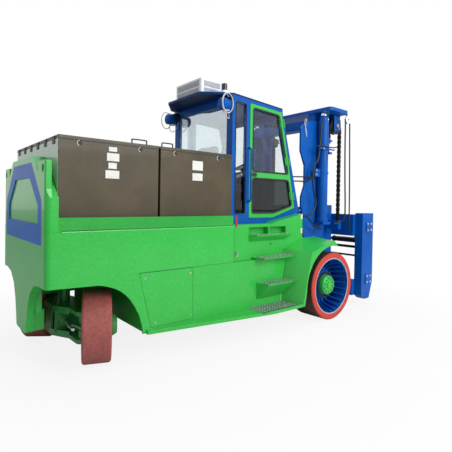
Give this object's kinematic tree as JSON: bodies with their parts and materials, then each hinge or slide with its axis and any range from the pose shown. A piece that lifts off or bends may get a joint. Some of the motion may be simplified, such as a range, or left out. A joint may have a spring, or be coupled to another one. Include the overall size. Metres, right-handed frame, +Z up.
{
  "type": "electric forklift truck",
  "caption": "Heavy electric counterbalance forklift with two-stage mast, wide carriage, cab over a low chassis, battery boxes at the rear and small steered wheels under the tail.",
  "frame": {"origin": "on the floor, below the middle of the bounding box", "axes": "+X forward towards the mast, +Y to the left, +Z up"},
  "size_m": [4.92, 2.284, 3.12],
  "materials": {
    "green_paint": "gloss green body paint",
    "blue_paint": "gloss blue cab and mast paint",
    "dark_paint": "satin dark grey machinery paint",
    "battery_paint": "semi-gloss brown-grey acid-proof paint",
    "white_paint": "white air-conditioner housing",
    "window_glass": "tinted cab glass",
    "red_band": "red non-marking press-on band",
    "worn_band": "worn red press-on band",
    "axle_steel": "green-sprayed castings, oily",
    "bright_steel": "ground and chromed rods",
    "chain_steel": "oiled leaf chain",
    "black_steel": "black painted steel",
    "amber_lens": "amber beacon",
    "seat_cloth": "dark seat cloth",
    "console_plastic": "dark textured plastic"
  },
  "bodies": {
    "chassis": {"ac_unit": "white_paint", "battery_bay": "green_paint", "battery_front": "battery_paint", "battery_rear": "battery_paint", "beacon": "amber_lens", "cab_base": "green_paint", "cab_floor": "blue_paint", "cab_front_frame": "blue_paint", "cab_glass": "window_glass", "cab_rear_frame": "blue_paint", "cab_roof": "blue_paint", "cab_side_frames": "blue_paint", "chassis": "green_paint", "counterweight": "green_paint", "rear_trim": "blue_paint", "drive_axle": "dark_paint", "fenders": "green_paint", "grab_handles": "blue_paint", "running_boards": "green_paint", "seat": "seat_cloth", "side_panels": "green_paint", "steer_axle": "axle_steel", "steer_cylinder": "black_steel", "steering_console": "console_plastic", "steps": "green_paint", "work_lights": "black_steel"},
    "door_right": {"door_right": "green_paint", "door_right_glass": "window_glass"},
    "door_left": {"door_left": "green_paint", "door_left_glass": "window_glass"},
    "wheel_front_right": {"front_tyre_right": "red_band", "front_rim_right": "blue_paint", "front_hub_right": "green_paint"},
    "wheel_front_left": {"front_tyre_left": "red_band", "front_rim_left": "blue_paint", "front_hub_left": "green_paint"},
    "knuckle_right": {"knuckle_right": "axle_steel"},
    "knuckle_left": {"knuckle_left": "axle_steel"},
    "wheel_rear_right": {"rear_tyre_right": "worn_band", "rear_rim_right": "axle_steel"},
    "wheel_rear_left": {"rear_tyre_left": "worn_band", "rear_rim_left": "axle_steel"},
    "steer_link_right": {"steer_link_right": "axle_steel"},
    "steer_link_left": {"steer_link_left": "axle_steel"},
    "steer_rod": {"steer_rod": "bright_steel"},
    "tilt_barrel_right": {"tilt_barrel_right": "black_steel"},
    "tilt_barrel_left": {"tilt_barrel_left": "black_steel"},
    "tilt_rod_right": {"tilt_rod_right": "bright_steel"},
    "tilt_rod_left": {"tilt_rod_left": "bright_steel"},
    "mast_outer": {"mast_outer": "blue_paint", "lift_barrels": "blue_paint", "chain_rear": "chain_steel"},
    "mast_inner": {"mast_inner": "blue_paint", "lift_rods": "bright_steel", "sheaves": "chain_steel", "chain_front": "chain_steel"},
    "carriage": {"carriage_frame": "blue_paint", "carriage_plates": "blue_paint", "carriage_rods": "bright_steel"}
  },
  "joints": [
    {"name": "wheel_front_right", "type": "hinge", "parent": "chassis", "child": "wheel_front_right", "pos_m": [1.175, -0.942, 0.46], "axis": [0, 1, 0], "continuous": true},
    {"name": "wheel_front_left", "type": "hinge", "parent": "chassis", "child": "wheel_front_left", "pos_m": [1.175, 0.942, 0.46], "axis": [0, 1, 0], "continuous": true},
    {"name": "steer_right", "type": "hinge", "parent": "chassis", "child": "knuckle_right", "pos_m": [-2.009, -0.498, 0.355], "axis": [0, 0, 1], "range_deg": [-123.4, 0]},
    {"name": "steer_left", "type": "hinge", "parent": "chassis", "child": "knuckle_left", "pos_m": [-2.009, 0.498, 0.355], "axis": [0, 0, 1], "range_deg": [-123.4, 0]},
    {"name": "wheel_rear_right", "type": "hinge", "parent": "knuckle_right", "child": "wheel_rear_right", "pos_m": [-1.8974, -0.5422, 0.355], "axis": [0.9298, -0.3681, 0], "continuous": true},
    {"name": "wheel_rear_left", "type": "hinge", "parent": "knuckle_left", "child": "wheel_rear_left", "pos_m": [-2.1073, 0.5668, 0.355], "axis": [-0.8192, 0.5736, 0], "continuous": true},
    {"name": "steer_link_right", "type": "hinge", "parent": "knuckle_right", "child": "steer_link_right", "pos_m": [-2.0659, -0.6037, 0.34], "axis": [0, 0, 1], "range_deg": [0, 123.4]},
    {"name": "steer_link_left", "type": "hinge", "parent": "knuckle_left", "child": "steer_link_left", "pos_m": [-2.0659, 0.3923, 0.34], "axis": [0, 0, 1], "range_deg": [0, 123.4]},
    {"name": "steer_rod", "type": "slide", "parent": "chassis", "child": "steer_rod", "axis": [0, 1, 0], "range_m": [0, 0.22]},
    {"name": "door_right", "type": "hinge", "parent": "chassis", "child": "door_right", "pos_m": [0.917, -0.662, 1.524], "axis": [-0.2217, 0, 0.9751], "range_deg": [0, 90]},
    {"name": "door_left", "type": "hinge", "parent": "chassis", "child": "door_left", "pos_m": [0.917, 0.662, 1.524], "axis": [0.2217, 0, -0.9751], "range_deg": [0, 90]},
    {"name": "mast_tilt", "type": "hinge", "parent": "chassis", "child": "mast_outer", "pos_m": [1.175, 0, 0.46], "axis": [0, 1, 0], "range_deg": [-5, 5]},
    {"name": "tilt_barrel_right", "type": "hinge", "parent": "chassis", "child": "tilt_barrel_right", "pos_m": [0.225, -0.55, 1.01], "axis": [0, 1, 0], "range_deg": [-3, 3]},
    {"name": "tilt_rod_right", "type": "slide", "parent": "tilt_barrel_right", "child": "tilt_rod_right", "axis": [0.9069, 0, 0.4214], "range_m": [-0.085, 0.085]},
    {"name": "tilt_barrel_left", "type": "hinge", "parent": "chassis", "child": "tilt_barrel_left", "pos_m": [0.225, 0.55, 1.01], "axis": [0, 1, 0], "range_deg": [-3, 3]},
    {"name": "tilt_rod_left", "type": "slide", "parent": "tilt_barrel_left", "child": "tilt_rod_left", "axis": [0.9069, 0, 0.4214], "range_m": [-0.085, 0.085]},
    {"name": "mast_lift", "type": "slide", "parent": "mast_outer", "child": "mast_inner", "axis": [0, 0, 1], "range_m": [0, 1.35], "deforming": ["chain_rear"]},
    {"name": "carriage_lift", "type": "slide", "parent": "mast_inner", "child": "carriage", "axis": [0, 0, 1], "range_m": [0, 1.35], "deforming": ["chain_front"]}
  ],
  "couplings": [
    {"joint": "steer_left", "follows": "steer_right", "ratio": 1},
    {"joint": "steer_link_right", "follows": "steer_right", "ratio": -1},
    {"joint": "steer_link_left", "follows": "steer_right", "ratio": -1},
    {"joint": "steer_rod", "follows": "steer_right", "m_per_rad": -0.0984},
    {"joint": "tilt_barrel_right", "follows": "mast_tilt", "ratio": 0.4231},
    {"joint": "tilt_barrel_left", "follows": "mast_tilt", "ratio": 0.4231},
    {"joint": "tilt_rod_right", "follows": "mast_tilt", "m_per_rad": 0.8991},
    {"joint": "tilt_rod_left", "follows": "mast_tilt", "m_per_rad": 0.8991},
    {"joint": "carriage_lift", "follows": "mast_lift", "ratio": 1}
  ]
}
